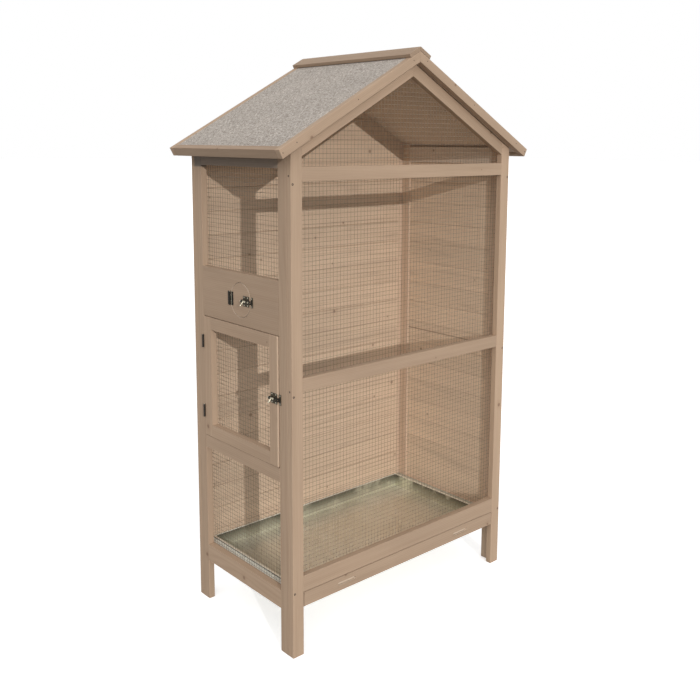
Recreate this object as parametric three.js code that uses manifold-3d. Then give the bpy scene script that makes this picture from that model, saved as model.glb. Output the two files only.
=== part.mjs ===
// Gabled wooden bird aviary on four legs. Its front and left side are open mesh in slatted frames,
// its back and right side are boarded. The left side has a mesh door and, above it, a wide board
// with a small feeding hatch. A metal tray slides out under the front bottom rail.
// Millimetres. +X runs to the right along the wide front, +Y to the back, +Z up.
// The origin lies on the ground under the middle of the aviary.
import * as THREE from 'three';
import { mergeVertices } from 'three/addons/utils/BufferGeometryUtils.js';
import Module from 'manifold-3d';

const wasm = await Module();
wasm.setup();

// Cage
const cageWidth = 900;
const cageDepth = 496;
const slatThick = 20;
const slatWide = 38;
const backThick = 15;
const eaveHeight = 1441;
const roofPitch = THREE.MathUtils.degToRad(29);

// Front rails. The top one hangs from the eave, the middle one divides the window under it.
const topRailBelowEave = 89;
const midRailShare = 0.5043;
const frontRailWide = 39;
const frontBottomRailWide = 48.5;

// Left and right side rails
const sideRailBase = 131;
const sideRailWide = 55;
const sillRise = 323;
const sillWide = 40;
const doorOpeningHigh = 380;
const hatchBoardWide = 153;

// Boarded walls
const boardPitch = 74;
const rightBoardThick = 14;
const grooveWide = 4;
const grooveDeep = 2;

// Mesh sheets
const netCell = 70;
const netThick = 1.2;
const netWire = 2.2;
const netLap = 14;

// Roof, measured square to its slope or along it
const sideOverhang = 58;
const gableOverhang = 28;
const trimHigh = 27;
const trimDrop = 3.5;
const trimThick = 20;
const deckThick = 19;
const feltThick = 3;
const capWide = 31;
const capThick = 11;
const slopeGap = 0.3;

// Door
const doorSideGap = 5;
const doorHingeGap = 2;
const doorEndGap = 2;
const doorHingeInset = 77.5;
const doorProud = 2;
const doorBoltRise = 200;

// Hatch, a round panel in a round hole of the wide board
const hatchRadius = 51.5;
const hatchGap = 1.5;
const hatchThick = 10;
const hatchForward = 6;
const hatchDrop = 2.5;
const hatchBoltInset = 6;
const hatchKeeperInset = 2.5;
const hatchSides = 48;

// Butt hinges
const hingeHigh = 40;
const knuckleRadius = 3;
const pinRadius = 1.2;
const pinClear = 0.1;
const knuckleGap = 0.4;
const knuckleStandoff = 0.5;
const leafThick = 0.9;
const leafWide = 13.5;
const pinHeadRadius = 1.9;
const pinHeadHigh = 1;

// Barrel bolts
const boltPlateLong = 30;
const boltPlateHigh = 30;
const boltPlateThick = 1.2;
const boltEdgeSet = 0.5;
const rodRadius = 3;
const rodClear = 0.4;
const rodOffset = 6;
const rodPastPlate = 5;
const guideLong = 4.5;
const guideWall = 1.6;
const guideInset = 0.5;
const knobRadius = 2.2;
const knobLong = 13;
const knobAlongPlate = 22;
const knobBallRadius = 3;
const knobLean = THREE.MathUtils.degToRad(50);
const keeperLong = 9;
const keeperGap = 0.5;

// Tray drawer
const trayFrontBase = 146;
const trayFrontHigh = 43;
const trayFrontGap = 1;
const traySideGap = 2;
const trayBase = 143;
const trayWall = 1;
const trayFlangeWide = 5;
const trayLipHigh = 10;
const trayBackRimWide = 3;
const trayRimHigh = 2;
const trayBackGap = 2;
const runnerWide = 40;
const runnerClear = 0.3;
const guideBelowNet = 1;
const guideRebate = 1.6;
const pullLong = 70;
const pullHigh = 10;
const pullDeep = 8;
const pullFromMiddle = 250;

// Facets of round pieces
const roundSides = 16;
const arcSides = 8;
const cutOver = 1;

// Planes that several pieces share
const outX = cageWidth / 2;
const inX = outX - slatThick;
const trimTop = trimHigh - trimDrop;
const stileInX = outX - slatWide;
const frontY = -cageDepth / 2;
const frontInY = frontY + slatThick;
const backY = cageDepth / 2;
const backInY = backY - backThick;
const sideFrontY = frontInY + slatWide;
const sideBackY = backInY - slatWide;
const frontRailBase = trayFrontBase + trayFrontHigh + trayFrontGap;
const topRailBase = eaveHeight - topRailBelowEave;
const midRailBase = frontRailBase + (topRailBase - frontRailBase) * midRailShare;
const sideTopRailBase = eaveHeight - sideRailWide;
const sideRailTop = sideRailBase + sideRailWide;
const sillBase = sideRailTop + sillRise;
const sillTop = sillBase + sillWide;
const hatchBoardBase = sillTop + doorOpeningHigh;
const hatchBoardTop = hatchBoardBase + hatchBoardWide;
const hatchMiddleZ = hatchBoardBase + hatchBoardWide / 2 - hatchDrop;
const roofSlope = Math.tan(roofPitch);
const ridgeHeight = eaveHeight + outX * roofSlope;
const rafterDrop = slatWide / Math.cos(roofPitch);

const wood = { color: 0xb69b82, roughness: 0.75, metalness: 0 };
const felt = { color: 0xa69c91, roughness: 0.95, metalness: 0 };
const zinc = { color: 0xa3a191, roughness: 0.45, metalness: 0.8 };
const wire = { color: 0x736e66, roughness: 0.5, metalness: 0.6 };
const darkSteel = { color: 0x3a342c, roughness: 0.5, metalness: 0.7 };

const aviary = new THREE.Group();

// Underside of the roof, without the seat gap, at a distance from the middle
function roofUnder(x) {
  return ridgeHeight - Math.abs(x) * roofSlope;
}

// Point of a roof section: along the slope from the ridge, and square to it from the underside
function slopePoint(side, along, above) {
  const x = along * Math.cos(roofPitch) + above * Math.sin(roofPitch);
  const z = ridgeHeight - along * Math.sin(roofPitch) + above * Math.cos(roofPitch);
  return [side * x, z];
}

// Point of a roof section on a plumb line beside the ridge
function plumbPoint(side, x, above) {
  return [side * x, ridgeHeight + above / Math.cos(roofPitch) - x * roofSlope];
}

function addPiece(group, name, geometry, look) {
  const mesh = new THREE.Mesh(geometry, new THREE.MeshStandardMaterial(look));
  mesh.name = name;
  group.add(mesh);
  return mesh;
}

// A slat or other square-cut piece between two corners
function addBlock(group, name, low, high, look) {
  const size = low.map((value, axis) => high[axis] - value);
  const mesh = addPiece(group, name, new THREE.BoxGeometry(...size), look);
  mesh.position.set(...low.map((value, axis) => (value + high[axis]) / 2));
  return mesh;
}

function outline(points) {
  return new THREE.Shape(points.map(([u, v]) => new THREE.Vector2(u, v)));
}

function prism(shape, length) {
  return new THREE.ExtrudeGeometry(shape, { depth: length, bevelEnabled: false, curveSegments: arcSides });
}

// Outline in X and Z, pushed along Y
function alongY(shape, lowY, highY) {
  const geometry = prism(shape, highY - lowY);
  geometry.rotateX(Math.PI / 2);
  geometry.translate(0, highY, 0);
  return geometry;
}

// Outline in Y and Z, pushed along X
function alongX(shape, lowX, highX) {
  const geometry = prism(shape, highX - lowX);
  const turn = new THREE.Matrix4().makeBasis(
    new THREE.Vector3(0, 1, 0), new THREE.Vector3(0, 0, 1), new THREE.Vector3(1, 0, 0));
  geometry.applyMatrix4(turn);
  geometry.translate(lowX, 0, 0);
  return geometry;
}

function blockGeometry(low, high) {
  const size = low.map((value, axis) => high[axis] - value);
  const geometry = new THREE.BoxGeometry(...size);
  geometry.translate(...low.map((value, axis) => (value + high[axis]) / 2));
  return geometry;
}

// Round bar between two heights, standing on Z
function uprightBar(radius, x, y, lowZ, highZ) {
  const geometry = new THREE.CylinderGeometry(radius, radius, highZ - lowZ, roundSides);
  geometry.rotateX(Math.PI / 2);
  geometry.translate(x, y, (lowZ + highZ) / 2);
  return geometry;
}

// Round bar between two places along Y
function levelBar(radius, x, z, lowY, highY) {
  const geometry = new THREE.CylinderGeometry(radius, radius, highY - lowY, roundSides);
  geometry.translate(x, (lowY + highY) / 2, z);
  return geometry;
}

function toSolid(geometry) {
  const bare = geometry.clone();
  bare.deleteAttribute('normal');
  bare.deleteAttribute('uv');
  const merged = mergeVertices(bare);
  return new wasm.Manifold(new wasm.Mesh({
    numProp: 3,
    vertProperties: new Float32Array(merged.attributes.position.array),
    triVerts: new Uint32Array(merged.index.array),
  }));
}

function toGeometry(solid) {
  const mesh = solid.getMesh();
  const geometry = new THREE.BufferGeometry();
  geometry.setAttribute('position', new THREE.BufferAttribute(mesh.vertProperties, mesh.numProp));
  geometry.setIndex(new THREE.BufferAttribute(mesh.triVerts, 1));
  geometry.computeVertexNormals();
  return geometry;
}

function fuse(geometries) {
  const solid = geometries.map(toSolid).reduce((sum, next) => sum.add(next));
  return toGeometry(solid);
}

function cutFrom(geometry, cuts) {
  const solid = cuts.map(toSolid).reduce((left, next) => left.subtract(next), toSolid(geometry));
  return toGeometry(solid);
}

// Part of a cell that lies under a slanting top edge
function underEdge(points, edgeAt) {
  const kept = [];
  points.forEach((point, i) => {
    const next = points[(i + 1) % points.length];
    const over = point[1] - edgeAt(point[0]);
    const nextOver = next[1] - edgeAt(next[0]);
    if (over <= 0) kept.push(point);
    if (over * nextOver < 0) {
      const share = over / (over - nextOver);
      kept.push([point[0] + (next[0] - point[0]) * share, point[1] + (next[1] - point[1]) * share]);
    }
  });
  return kept;
}

function areaOf(points) {
  return Math.abs(THREE.ShapeUtils.area(points.map(([u, v]) => new THREE.Vector2(u, v))));
}

// Welded mesh sheet: a border wire and a lattice of square gaps, clipped under its top edge
function netGeometry(lowU, highU, lowV, highV, topAt, push) {
  const columns = 2 * Math.round((highU - lowU) / netCell / 2);
  const rows = Math.round((highV - lowV) / netCell);
  const stepU = (highU - lowU - netWire) / columns;
  const stepV = (highV - lowV - netWire) / rows;
  const middle = (lowU + highU) / 2;
  const corners = [[lowU, lowV], [highU, lowV], [highU, topAt(highU)], [middle, topAt(middle)], [lowU, topAt(lowU)]];
  const smallestShare = 0.06;
  const edgeAt = (u) => topAt(u) - netWire / Math.cos(roofPitch);
  const gaps = [];
  for (let i = 0; i < columns; i += 1) {
    for (let j = 0; j < rows; j += 1) {
      const u0 = lowU + netWire + i * stepU;
      const u1 = lowU + (i + 1) * stepU;
      const v0 = lowV + netWire + j * stepV;
      const v1 = lowV + (j + 1) * stepV;
      const cell = underEdge([[u0, v0], [u1, v0], [u1, v1], [u0, v1]], edgeAt);
      if (cell.length > 2 && areaOf(cell) > smallestShare * stepU * stepV) {
        gaps.push(toSolid(push(outline(cell), cutOver)));
      }
    }
  }
  return toGeometry(toSolid(push(outline(corners), 0)).subtract(wasm.Manifold.union(gaps)));
}

// Square-cornered mesh sheet in the plane of the left side
function sideNet(group, name, lowY, highY, lowZ, highZ, proud = 0) {
  const face = -inX - proud;
  const push = (shape, over) => alongX(shape, face - over, face + netThick + over);
  return addPiece(group, name, netGeometry(lowY, highY, lowZ, highZ, () => highZ, push), wire);
}

function addFrontFrame(group) {
  for (const [side, word] of [[-1, 'left'], [1, 'right']]) {
    const seat = (x) => roofUnder(x) - slopeGap;
    const stile = outline([
      [side * stileInX, 0], [side * outX, 0], [side * outX, seat(outX)], [side * stileInX, seat(stileInX)],
    ]);
    addPiece(group, `front_${word}_stile`, alongY(stile, frontY, frontInY), wood);
    const rafter = outline([
      [0, seat(0)], [side * stileInX, seat(stileInX)],
      [side * stileInX, roofUnder(stileInX) - rafterDrop], [0, ridgeHeight - rafterDrop],
    ]);
    addPiece(group, `front_${word}_rafter`, alongY(rafter, frontY, frontInY), wood);
  }
  const rails = [
    ['front_top_rail', topRailBase, frontRailWide],
    ['front_mid_rail', midRailBase, frontRailWide],
    ['front_bottom_rail', frontRailBase, frontBottomRailWide],
  ];
  for (const [name, base, wide] of rails) {
    addBlock(group, name, [-stileInX, frontY, base], [stileInX, frontInY, base + wide], wood);
  }
  const reach = stileInX + netLap;
  const low = frontRailBase + frontBottomRailWide - netLap;
  const topAt = (x) => roofUnder(x) - rafterDrop + netLap;
  const push = (shape, over) => alongY(shape, frontInY - over, frontInY + netThick + over);
  addPiece(group, 'front_net', netGeometry(-reach, reach, low, topAt(0), topAt, push), wire);
}

// Slat of a side frame that reaches from the ground to the roof, its top cut to the slope
function sideStile(group, name, side, lowY, highY) {
  const section = outline([
    [side * inX, 0], [side * outX, 0],
    [side * outX, roofUnder(outX) - slopeGap], [side * inX, roofUnder(inX) - slopeGap],
  ]);
  return addPiece(group, name, alongY(section, lowY, highY), wood);
}

// Square-edged top rail of a side. Its outer edge meets the roof, which rises away from it inwards.
function sideTopRail(group, name, side) {
  const lowX = side < 0 ? -outX : inX;
  const low = [lowX, sideFrontY, sideTopRailBase];
  const high = [lowX + slatThick, sideBackY, eaveHeight - slopeGap];
  return addBlock(group, name, low, high, wood);
}

// Round panel or hole of the hatch between two planes square to X
function hatchDisc(radius, lowX, highX) {
  const geometry = new THREE.CylinderGeometry(radius, radius, highX - lowX, hatchSides);
  geometry.rotateZ(Math.PI / 2);
  geometry.translate((lowX + highX) / 2, -hatchForward, hatchMiddleZ);
  return geometry;
}

function addLeftSide(group) {
  sideStile(group, 'left_front_stile', -1, frontInY, sideFrontY);
  sideStile(group, 'left_rear_stile', -1, sideBackY, backInY);
  sideTopRail(group, 'left_top_rail', -1);
  const rails = [
    ['left_bottom_rail', sideRailBase, sideRailWide],
    ['left_sill_rail', sillBase, sillWide],
  ];
  for (const [name, base, wide] of rails) {
    addBlock(group, name, [-outX, sideFrontY, base], [-inX, sideBackY, base + wide], wood);
  }
  const board = blockGeometry([-outX, sideFrontY, hatchBoardBase], [-inX, sideBackY, hatchBoardTop]);
  const opening = hatchDisc(hatchRadius, -outX - cutOver, -inX + cutOver);
  addPiece(group, 'left_hatch_board', cutFrom(board, [opening]), wood);
  sideNet(group, 'left_upper_net', sideFrontY - netLap, sideBackY + netLap, hatchBoardTop - netLap,
    sideTopRailBase + netLap);
  sideNet(group, 'left_lower_net', sideFrontY - netLap, sideBackY + netLap, sideRailTop - netLap, sillBase + netLap);
}

// V grooves between boards, on both faces of a wall
function groovesAlongY(lowX, highX, firstZ, topZ) {
  const cuts = [];
  for (let z = firstZ; z < topZ; z += boardPitch) {
    for (const [face, way] of [[lowX, -1], [highX, 1]]) {
      const notch = outline([
        [face + way * cutOver, z - grooveWide / 2], [face + way * cutOver, z + grooveWide / 2],
        [face, z + grooveWide / 2], [face - way * grooveDeep, z], [face, z - grooveWide / 2],
      ]);
      cuts.push(alongY(notch, sideFrontY - cutOver, sideBackY + cutOver));
    }
  }
  return cuts;
}

function groovesAlongX(lowY, highY, firstZ, topZ) {
  const cuts = [];
  for (let z = firstZ; z < topZ; z += boardPitch) {
    for (const [face, way] of [[lowY, -1], [highY, 1]]) {
      const notch = outline([
        [face + way * cutOver, z - grooveWide / 2], [face + way * cutOver, z + grooveWide / 2],
        [face, z + grooveWide / 2], [face - way * grooveDeep, z], [face, z - grooveWide / 2],
      ]);
      cuts.push(alongX(notch, -stileInX - cutOver, stileInX + cutOver));
    }
  }
  return cuts;
}

function addRightSide(group) {
  sideStile(group, 'right_front_stile', 1, frontInY, sideFrontY);
  sideStile(group, 'right_rear_stile', 1, sideBackY, backInY);
  addBlock(group, 'right_bottom_rail', [inX, sideFrontY, sideRailBase], [outX, sideBackY, sideRailTop], wood);
  sideTopRail(group, 'right_top_rail', 1);
  const boards = blockGeometry([outX - rightBoardThick, sideFrontY, sideRailTop], [outX, sideBackY, sideTopRailBase]);
  const firstZ = sideRailBase + boardPitch;
  const grooves = groovesAlongY(outX - rightBoardThick, outX, firstZ, sideTopRailBase - grooveWide);
  addPiece(group, 'right_boards', cutFrom(boards, grooves), wood);
}

function addBack(group) {
  const seat = (x) => roofUnder(x) - slopeGap;
  for (const [side, word] of [[-1, 'left'], [1, 'right']]) {
    const stile = outline([
      [side * stileInX, 0], [side * outX, 0], [side * outX, seat(outX)], [side * stileInX, seat(stileInX)],
    ]);
    addPiece(group, `back_${word}_stile`, alongY(stile, backInY, backY), wood);
  }
  const wall = outline([
    [-stileInX, sideRailBase], [stileInX, sideRailBase], [stileInX, seat(stileInX)],
    [0, seat(0)], [-stileInX, seat(stileInX)],
  ]);
  const firstZ = sideRailBase + boardPitch;
  const grooves = groovesAlongX(backInY, backY, firstZ, ridgeHeight - boardPitch / 2);
  addPiece(group, 'back_boards', cutFrom(alongY(wall, backInY, backY), grooves), wood);
}

// Runners: a ledge under the tray, and beside it a guide as high as the side rail, rebated round the mesh
function addRunners(group) {
  const ledgeTop = trayBase - runnerClear;
  const netBase = sideRailTop - netLap - guideBelowNet;
  const guideOutX = inX - guideRebate;
  for (const [side, word] of [[-1, 'left'], [1, 'right']]) {
    const section = outline([
      [side * inX, sideRailBase], [side * inX, netBase], [side * guideOutX, netBase],
      [side * guideOutX, sideRailTop], [side * stileInX, sideRailTop], [side * stileInX, ledgeTop],
      [side * (inX - runnerWide), ledgeTop], [side * (inX - runnerWide), sideRailBase],
    ]);
    addPiece(group, `${word}_runner`, alongY(section, frontInY, backInY), wood);
  }
}

function addRoof(group) {
  const outY = cageDepth / 2 + gableOverhang;
  const inY = outY - trimThick;
  const eaveEnd = (outX + sideOverhang - trimTop * Math.sin(roofPitch)) / Math.cos(roofPitch);
  const deckEnd = eaveEnd - trimThick;
  const beside = slopeGap / 2;
  const feltBase = deckThick + slopeGap;
  const feltTop = feltBase + feltThick;
  for (const [side, word] of [[-1, 'left'], [1, 'right']]) {
    const deck = outline([
      plumbPoint(side, beside, 0), slopePoint(side, deckEnd - slopeGap, 0),
      slopePoint(side, deckEnd - slopeGap, deckThick), plumbPoint(side, beside, deckThick),
    ]);
    addPiece(group, `${word}_roof_deck`, alongY(deck, -inY, inY), wood);
    const eave = outline([
      slopePoint(side, deckEnd, -trimDrop), slopePoint(side, eaveEnd, -trimDrop),
      slopePoint(side, eaveEnd, trimTop), slopePoint(side, deckEnd, trimTop),
    ]);
    addPiece(group, `${word}_eave_strip`, alongY(eave, -inY, inY), wood);
    const barge = outline([
      plumbPoint(side, 0, -trimDrop), slopePoint(side, eaveEnd, -trimDrop),
      slopePoint(side, eaveEnd, trimTop), plumbPoint(side, 0, trimTop),
    ]);
    addPiece(group, `front_${word}_bargeboard`, alongY(barge, -outY, -inY), wood);
    addPiece(group, `back_${word}_bargeboard`, alongY(barge, inY, outY), wood);
    const capBase = trimTop + slopeGap;
    const cap = outline([
      plumbPoint(side, beside, capBase), slopePoint(side, capWide, capBase),
      slopePoint(side, capWide, capBase + capThick), plumbPoint(side, beside, capBase + capThick),
    ]);
    addPiece(group, `${word}_ridge_cap`, alongY(cap, -outY, outY), wood);
  }
  const sheet = outline([
    slopePoint(-1, deckEnd - slopeGap, feltBase), plumbPoint(1, 0, feltBase),
    slopePoint(1, deckEnd - slopeGap, feltBase), slopePoint(1, deckEnd - slopeGap, feltTop),
    plumbPoint(1, 0, feltTop), slopePoint(-1, deckEnd - slopeGap, feltTop),
  ]);
  addPiece(group, 'roof_felt', alongY(sheet, -inY + slopeGap, inY - slopeGap), felt);
}

// Butt hinge on an upright pin just outside the left face. The frame leaf carries the outer knuckles,
// the swinging leaf the middle one. Leaves lie flat on the face, or stand edge on in the gap.
function addHinge(fixedGroup, movingGroup, names, axisY, middleZ, inGap, proud) {
  const axisX = -outX - proud - knuckleRadius - knuckleStandoff;
  const lowZ = middleZ - hingeHigh / 2;
  const third = hingeHigh / 3;
  const bore = uprightBar(pinRadius + pinClear, axisX, axisY, lowZ - cutOver, lowZ + hingeHigh + cutOver);
  const clear = knuckleRadius + knuckleGap;
  const build = (way, face, spans) => {
    const solids = [];
    if (inGap) {
      const flat = [axisY + way * doorHingeGap / 2, axisY + way * (doorHingeGap / 2 - leafThick)].sort((a, b) => a - b);
      solids.push(blockGeometry([face, flat[0], lowZ], [face + leafWide, flat[1], lowZ + hingeHigh]));
      for (const [z0, z1] of spans) {
        solids.push(blockGeometry([axisX, flat[0], z0], [face + leafThick, flat[1], z1]));
      }
    } else {
      const ends = [axisY + way * clear, axisY + way * leafWide].sort((a, b) => a - b);
      const tongue = [axisY, axisY + way * (clear + leafThick)].sort((a, b) => a - b);
      solids.push(blockGeometry([face - leafThick, ends[0], lowZ], [face, ends[1], lowZ + hingeHigh]));
      for (const [z0, z1] of spans) {
        solids.push(blockGeometry([face - leafThick, tongue[0], z0], [face, tongue[1], z1]));
      }
    }
    for (const [z0, z1] of spans) {
      solids.push(uprightBar(knuckleRadius, axisX, axisY, z0, z1));
    }
    return cutFrom(fuse(solids), [bore]);
  };
  const outer = [[lowZ, lowZ + third - knuckleGap / 2], [lowZ + 2 * third + knuckleGap / 2, lowZ + hingeHigh]];
  const inner = [[lowZ + third + knuckleGap / 2, lowZ + 2 * third - knuckleGap / 2]];
  addPiece(fixedGroup, names[0], build(1, -outX, outer), darkSteel);
  addPiece(movingGroup, names[1], build(-1, -outX - proud, inner), darkSteel);
  const pin = fuse([
    uprightBar(pinRadius, axisX, axisY, lowZ, lowZ + hingeHigh + cutOver / 2),
    uprightBar(pinHeadRadius, axisX, axisY, lowZ + hingeHigh, lowZ + hingeHigh + pinHeadHigh),
  ]);
  addPiece(fixedGroup, names[2], pin, zinc);
}

// Arched guide round a bolt rod, as an outline in X and Z with its bore
function guideShape(rodX, rodZ, footX, bore) {
  const round = bore + guideWall;
  const shape = new THREE.Shape();
  shape.moveTo(footX, rodZ - round);
  shape.lineTo(footX, rodZ + round);
  shape.lineTo(rodX, rodZ + round);
  shape.absarc(rodX, rodZ, round, Math.PI / 2, Math.PI * 3 / 2, false);
  const hole = new THREE.Path();
  hole.absarc(rodX, rodZ, bore, 0, Math.PI * 2, true);
  shape.holes.push(hole);
  return shape;
}

// Barrel bolt near the free edge of a door or hatch, drawn back at rest. It slides towards -Y, from a plate
// that starts at lowY into a keeper that ends at keeperHigh.
function addBolt(fixedGroup, movingGroup, prefix, lowY, rodLowY, keeperHigh, middleZ, proud) {
  const face = -outX - proud;
  const rodX = face - rodOffset;
  const highY = lowY + boltPlateLong;
  const bore = rodRadius + rodClear;
  const halfHigh = boltPlateHigh / 2;
  const guide = (foot, y) => alongY(guideShape(rodX, middleZ, foot - boltPlateThick / 2, bore), y, y + guideLong);
  const plate = fuse([
    blockGeometry([face - boltPlateThick, lowY, middleZ - halfHigh], [face, highY, middleZ + halfHigh]),
    guide(face, lowY + guideInset),
    guide(face, highY - guideInset - guideLong),
  ]);
  addPiece(movingGroup, `${prefix}_bolt_plate`, plate, zinc);

  const knob = new THREE.CylinderGeometry(knobRadius, knobRadius, knobLong, roundSides);
  knob.translate(0, knobLong / 2, 0);
  const ball = new THREE.SphereGeometry(knobBallRadius, roundSides, arcSides);
  ball.translate(0, knobLong, 0);
  const handle = toGeometry(toSolid(knob).add(toSolid(ball)));
  const lean = new THREE.Matrix4().makeBasis(
    new THREE.Vector3(0, 1, 0),
    new THREE.Vector3(-Math.cos(knobLean), 0, -Math.sin(knobLean)),
    new THREE.Vector3(-Math.sin(knobLean), 0, Math.cos(knobLean)));
  handle.applyMatrix4(lean);
  handle.translate(rodX, lowY + knobAlongPlate, middleZ);
  const rod = toSolid(levelBar(rodRadius, rodX, middleZ, rodLowY, highY + rodPastPlate)).add(toSolid(handle));
  addPiece(movingGroup, `${prefix}_bolt_rod`, toGeometry(rod), darkSteel);

  const keeperLow = keeperHigh - keeperLong;
  const keeper = fuse([
    blockGeometry([-outX - boltPlateThick, keeperLow, middleZ - halfHigh], [-outX, keeperHigh, middleZ + halfHigh]),
    guide(-outX, keeperHigh - guideInset - guideLong),
  ]);
  addPiece(fixedGroup, `${prefix}_bolt_keeper`, keeper, zinc);
}

function addDoor(fixedGroup, group) {
  const hingeY = sideBackY - doorHingeGap;
  const freeY = sideFrontY + doorSideGap;
  const low = sillTop + doorEndGap;
  const high = hatchBoardBase - doorEndGap;
  const outer = -outX - doorProud;
  const inner = -inX - doorProud;
  addBlock(group, 'door_hinge_stile', [outer, hingeY - slatWide, low], [inner, hingeY, high], wood);
  addBlock(group, 'door_free_stile', [outer, freeY, low], [inner, freeY + slatWide, high], wood);
  const railLowY = freeY + slatWide;
  const railHighY = hingeY - slatWide;
  addBlock(group, 'door_bottom_rail', [outer, railLowY, low], [inner, railHighY, low + slatWide], wood);
  addBlock(group, 'door_top_rail', [outer, railLowY, high - slatWide], [inner, railHighY, high], wood);
  sideNet(group, 'door_net', railLowY - netLap, railHighY + netLap, low + slatWide - netLap,
    high - slatWide + netLap, doorProud);
  const axisY = sideBackY - doorHingeGap / 2;
  const places = [['upper', high - doorHingeInset], ['lower', low + doorHingeInset]];
  for (const [word, z] of places) {
    const names = [`door_${word}_hinge_frame_leaf`, `door_${word}_hinge_door_leaf`, `door_${word}_hinge_pin`];
    addHinge(fixedGroup, group, names, axisY, z, true, doorProud);
  }
  const plateY = freeY + boltEdgeSet;
  addBolt(fixedGroup, group, 'door', plateY, plateY, sideFrontY - keeperGap, sillTop + doorBoltRise, doorProud);
}

function addHatch(fixedGroup, group) {
  const panelRadius = hatchRadius - hatchGap;
  const panel = toGeometry(toSolid(hatchDisc(panelRadius, -outX, -outX + hatchThick)));
  addPiece(group, 'hatch_panel', panel, wood);
  const axisY = (panelRadius + hatchRadius) / 2 - hatchForward;
  const names = ['hatch_hinge_frame_leaf', 'hatch_hinge_panel_leaf', 'hatch_hinge_pin'];
  addHinge(fixedGroup, group, names, axisY, hatchMiddleZ, false, 0);
  const edgeY = -hatchForward - panelRadius;
  const keeperY = -hatchForward - hatchRadius - hatchKeeperInset;
  addBolt(fixedGroup, group, 'hatch', edgeY + hatchBoltInset, edgeY + boltEdgeSet, keeperY, hatchMiddleZ, 0);
}

// Routed finger pull with round ends, sunk into the drawer front
function pullCut(middleX, middleZ) {
  const radius = pullHigh / 2;
  const straight = pullLong / 2 - radius;
  const shape = new THREE.Shape();
  shape.absarc(middleX + straight, middleZ, radius, -Math.PI / 2, Math.PI / 2, false);
  shape.absarc(middleX - straight, middleZ, radius, Math.PI / 2, Math.PI * 3 / 2, false);
  return alongY(shape, frontY - cutOver, frontY + pullDeep);
}

function addTray(group) {
  const frontTop = trayFrontBase + trayFrontHigh;
  const half = stileInX - traySideGap;
  const front = blockGeometry([-half, frontY, trayFrontBase], [half, frontInY, frontTop]);
  const pullZ = trayFrontBase + trayFrontHigh / 2;
  const pulls = [pullCut(-pullFromMiddle, pullZ), pullCut(pullFromMiddle, pullZ)];
  addPiece(group, 'tray_front', cutFrom(front, pulls), wood);

  const bodyX = half - trayFlangeWide;
  const rimBackY = backInY - trayBackGap;
  const bodyBackY = rimBackY - trayBackRimWide;
  const lipBase = frontTop - trayRimHigh - trayLipHigh;
  const body = fuse([
    blockGeometry([-bodyX, frontInY, trayBase], [bodyX, bodyBackY, frontTop]),
    blockGeometry([-half, frontInY, frontTop - trayRimHigh], [half, rimBackY, frontTop]),
    blockGeometry([-half, frontInY, lipBase], [-half + trayWall, rimBackY, frontTop]),
    blockGeometry([half - trayWall, frontInY, lipBase], [half, rimBackY, frontTop]),
  ]);
  const hollow = blockGeometry(
    [-bodyX + trayWall, frontInY + trayWall, trayBase + trayWall],
    [bodyX - trayWall, bodyBackY - trayWall, frontTop + cutOver]);
  addPiece(group, 'tray', cutFrom(body, [hollow]), zinc);
}

const cage = new THREE.Group();
const door = new THREE.Group();
const hatch = new THREE.Group();
const drawer = new THREE.Group();
aviary.add(cage, door, hatch, drawer);

addFrontFrame(cage);
addLeftSide(cage);
addRightSide(cage);
addBack(cage);
addRunners(cage);
addRoof(cage);
addDoor(cage, door);
addHatch(cage, hatch);
addTray(drawer);

export default aviary;
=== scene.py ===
import math
import random

import bmesh
import bpy
from mathutils import Matrix, Vector


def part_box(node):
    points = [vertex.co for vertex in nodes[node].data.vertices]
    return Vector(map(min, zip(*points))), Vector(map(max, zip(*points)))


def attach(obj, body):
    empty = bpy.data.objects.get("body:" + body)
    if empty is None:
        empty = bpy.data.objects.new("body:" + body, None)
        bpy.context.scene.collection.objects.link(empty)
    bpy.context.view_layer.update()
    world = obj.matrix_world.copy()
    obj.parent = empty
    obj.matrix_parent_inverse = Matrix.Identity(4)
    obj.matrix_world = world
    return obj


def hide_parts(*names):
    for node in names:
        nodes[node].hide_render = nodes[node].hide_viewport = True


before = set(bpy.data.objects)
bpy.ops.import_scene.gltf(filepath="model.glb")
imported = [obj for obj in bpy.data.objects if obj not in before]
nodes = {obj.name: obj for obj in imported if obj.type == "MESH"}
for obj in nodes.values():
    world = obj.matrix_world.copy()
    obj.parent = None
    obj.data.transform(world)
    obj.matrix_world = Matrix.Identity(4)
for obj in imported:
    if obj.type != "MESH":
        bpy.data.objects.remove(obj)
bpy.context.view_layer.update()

ROOF_PITCH = math.radians(29)
WHITE = (1, 1, 1, 1)

# The camera of the photograph. The focal length and the middle of the view are in its pixels.
PHOTO_SIDE = 700
FOCAL_LENGTH = 871.3
VIEW_MIDDLE = (365.7, 267.4)
SENSOR_WIDTH = 36
EYE = Vector((-1.8377, -2.0829, 1.4588))
YAW, DIP, ROLL = math.radians(42.041), math.radians(8.238), math.radians(0.371)
NEAREST, FURTHEST = 0.05, 200

# Direction, power and width in degrees: a low sun from the front left, and a broad soft light above it
LAMPS = {
    "sun": (Vector((0.351, 0.907, -0.234)), 1.57, 0.4),
    "soft_light": (Vector((0.54, 0.52, -0.66)), 0.84, 60),
}
SKY_COLOR = (0.975, 0.98, 0.985, 1)
SKY_POWER = 0.62

# The floor looks almost white, and throws little light back up
FLOOR_HALF = 60
FLOOR_SEEN = (0.90, 0.90, 0.90, 1)
FLOOR_BOUNCE = (0.20, 0.19, 0.18, 1)
FLOOR_ROUGH = 0.9
FLOOR_GLOW = 0.5


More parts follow.
